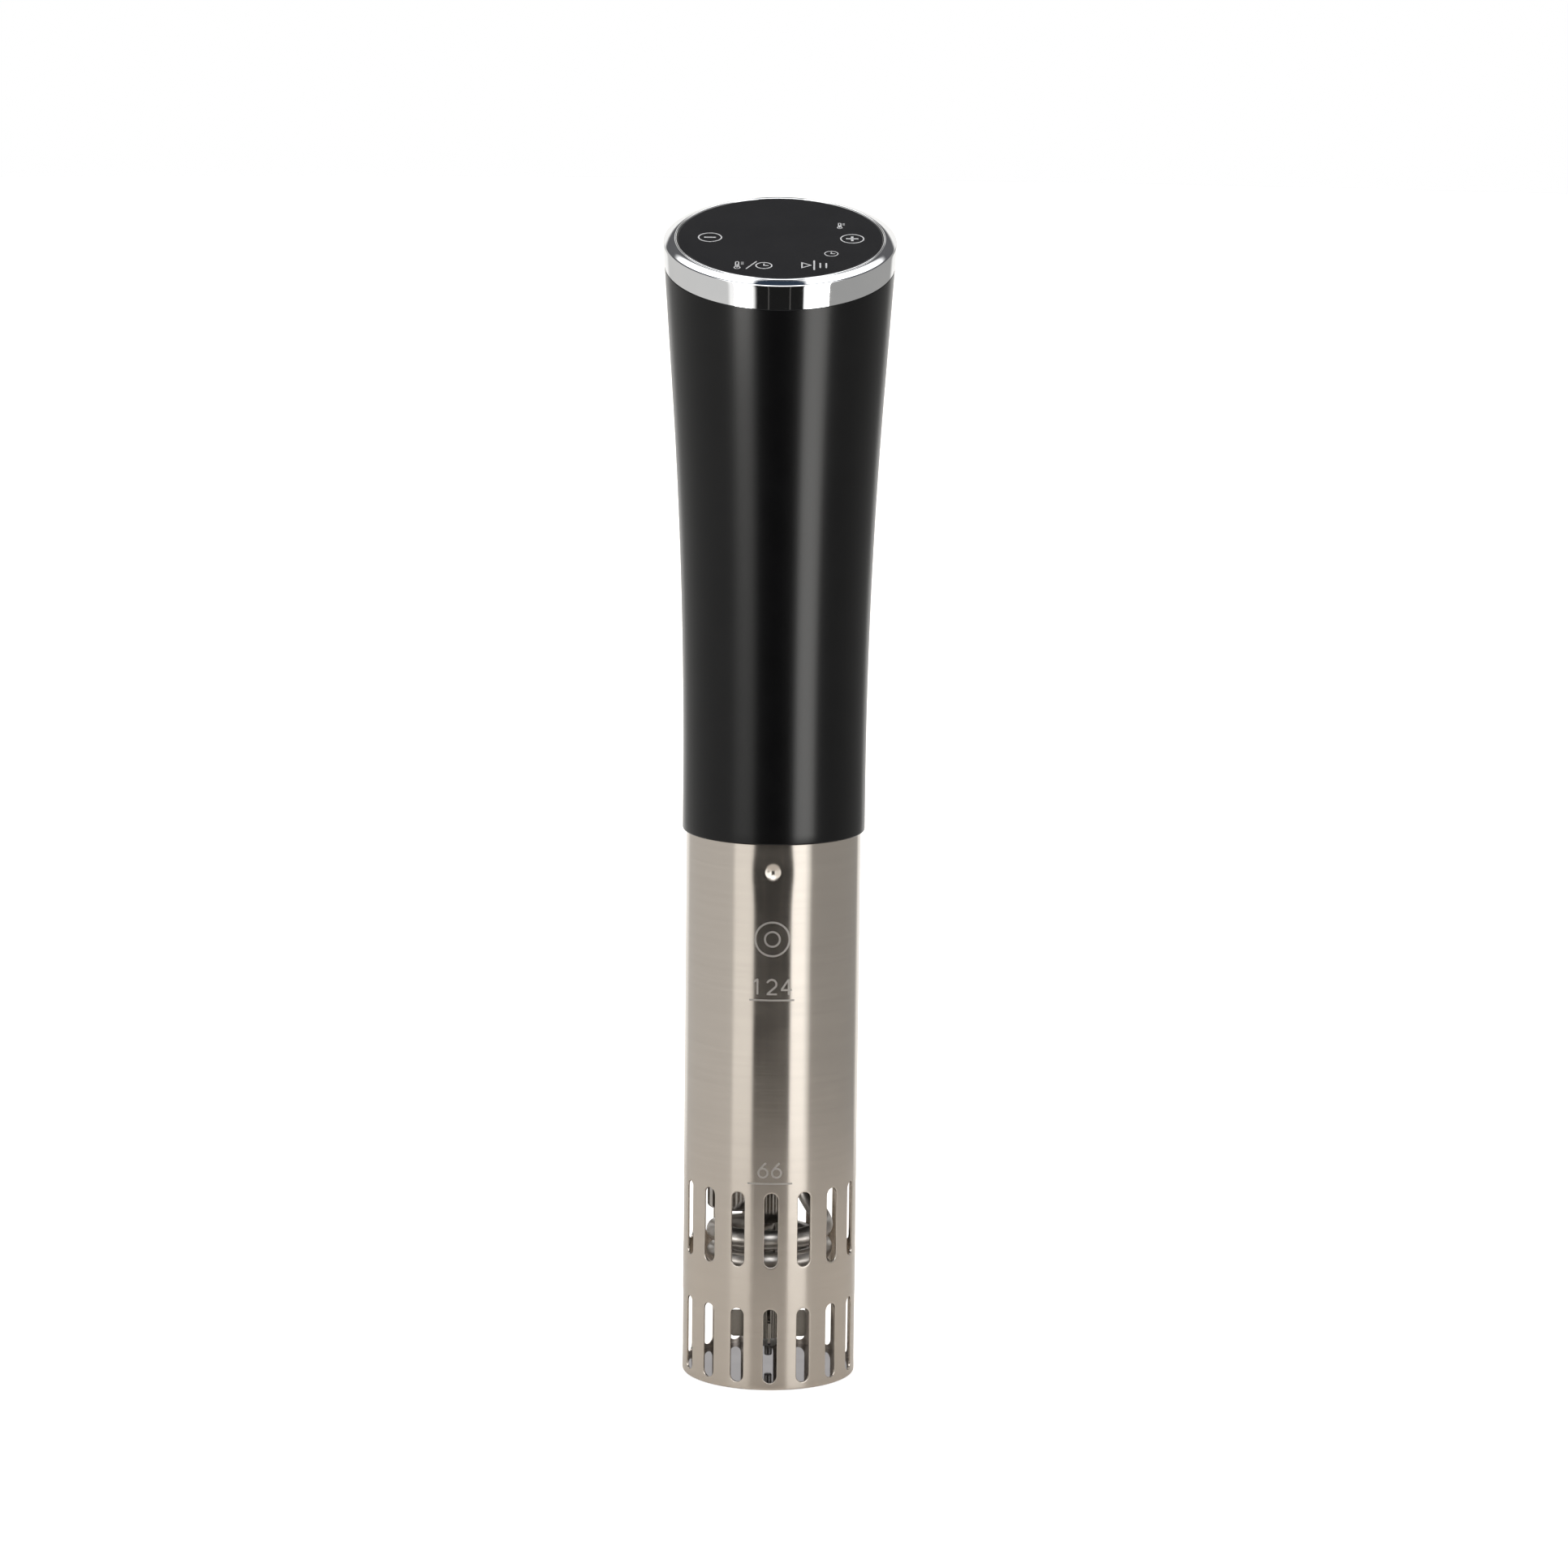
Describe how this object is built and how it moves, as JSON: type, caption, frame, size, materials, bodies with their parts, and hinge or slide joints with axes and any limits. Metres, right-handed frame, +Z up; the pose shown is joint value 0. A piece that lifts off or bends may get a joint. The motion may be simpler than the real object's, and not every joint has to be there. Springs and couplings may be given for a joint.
{
  "type": "sous vide circulator",
  "caption": "Stick-shaped water heater and stirrer: slotted steel skirt, flared black handle, slanted glass touch head with a chrome ring, screw clamp at the back.",
  "frame": {"origin": "centre of the skirt's flat bottom, which the circulator stands on", "axes": "+Z up along the skirt and handle, -Y to the front where the glass slants down, +X to the right seen from the front"},
  "size_m": [0.0714, 0.1211, 0.3658],
  "materials": {
    "satin_black": "satin moulded, very fine grain",
    "chrome": "bright plated",
    "black_glass": "gloss, printed black behind, white symbols",
    "seal_rubber": "matt",
    "circuit_board": "solder-masked",
    "inner_plastic": "moulded, unfinished",
    "fastener_steel": "plated",
    "dark_component": "moulded",
    "spring_metal": "bright",
    "skirt_steel": "fine brushing round the tube",
    "polished_steel": "polished",
    "heater_metal": "satin, slightly dulled",
    "impeller_steel": "pressed sheet, satin",
    "brass": "turned",
    "coupling_alloy": "turned",
    "motor_steel": "zinc plated",
    "magnet": "sintered",
    "coloured_component": "moulded",
    "fuse_glass": "clear",
    "wire_cover": "smooth insulation",
    "clamp_black": "powder coated",
    "knob_plastic": "moulded",
    "screw_steel": "rolled thread"
  },
  "bodies": {
    "root": {"beeper": "dark_component", "board_screws": "fastener_steel", "capacitor": "dark_component", "chassis": "inner_plastic", "chrome_ring": "chrome", "clamp_bolts": "fastener_steel", "clamp_bracket": "clamp_black", "clamp_nut": "brass", "cord_gland": "seal_rubber", "deck_screws": "fastener_steel", "display_cable": "wire_cover", "display_module": "dark_component", "floor_cup": "inner_plastic", "floor_seal": "seal_rubber", "fuse": "fuse_glass", "glass_panel": "black_glass", "glass_tape": "seal_rubber", "handle_shell": "satin_black", "heat_sink": "coupling_alloy", "heater_coil": "heater_metal", "heater_gaskets": "seal_rubber", "heater_leads": "wire_cover", "heater_nuts": "brass", "level_strip": "circuit_board", "motor_bearings": "brass", "motor_can": "motor_steel", "motor_end_cap": "inner_plastic", "motor_leads": "wire_cover", "motor_magnets": "magnet", "motor_screws": "fastener_steel", "panel_screws": "fastener_steel", "panel_tray": "inner_plastic", "power_board": "circuit_board", "relay": "coloured_component", "sensor_lead": "wire_cover", "sensor_tube": "polished_steel", "shaft_bushes": "brass", "shaft_column": "polished_steel", "shaft_seal": "seal_rubber", "terminal_block": "coloured_component", "thermal_cutout": "coloured_component", "thermistor": "polished_steel", "touch_board": "circuit_board", "touch_springs": "spring_metal", "transformer": "coloured_component", "triac": "dark_component"},
    "skirt": {"skirt_tube": "skirt_steel", "skirt_base_plate": "polished_steel"},
    "drive": {"drive_shaft": "polished_steel", "impeller": "impeller_steel", "impeller_nut": "fastener_steel", "shaft_coupling": "coupling_alloy", "coupling_screws": "fastener_steel", "motor_axle": "polished_steel", "motor_rotor": "motor_steel"},
    "clamp_pad": {"clamp_pad": "knob_plastic", "pad_face": "seal_rubber"},
    "clamp_screw": {"clamp_screw": "screw_steel", "clamp_knob": "knob_plastic"}
  },
  "joints": [
    {"name": "impeller_spin", "type": "hinge", "parent": "root", "child": "drive", "pos_m": [0, 0, 0.1], "axis": [0, 0, 1], "continuous": true},
    {"name": "skirt_twist", "type": "hinge", "parent": "root", "child": "skirt", "pos_m": [0, 0, 0.1642], "axis": [0, 0, 1], "range_deg": [0, 20]},
    {"name": "clamp_travel", "type": "slide", "parent": "root", "child": "clamp_pad", "axis": [0, -1, 0], "range_m": [0, 0.014]},
    {"name": "clamp_turn", "type": "hinge", "parent": "clamp_pad", "child": "clamp_screw", "pos_m": [0, 0.06, 0.158], "axis": [0, -1, 0], "range_deg": [0, 2521]}
  ],
  "couplings": [
    {"joint": "clamp_turn", "follows": "clamp_travel", "rad_per_m": 3141.6}
  ]
}
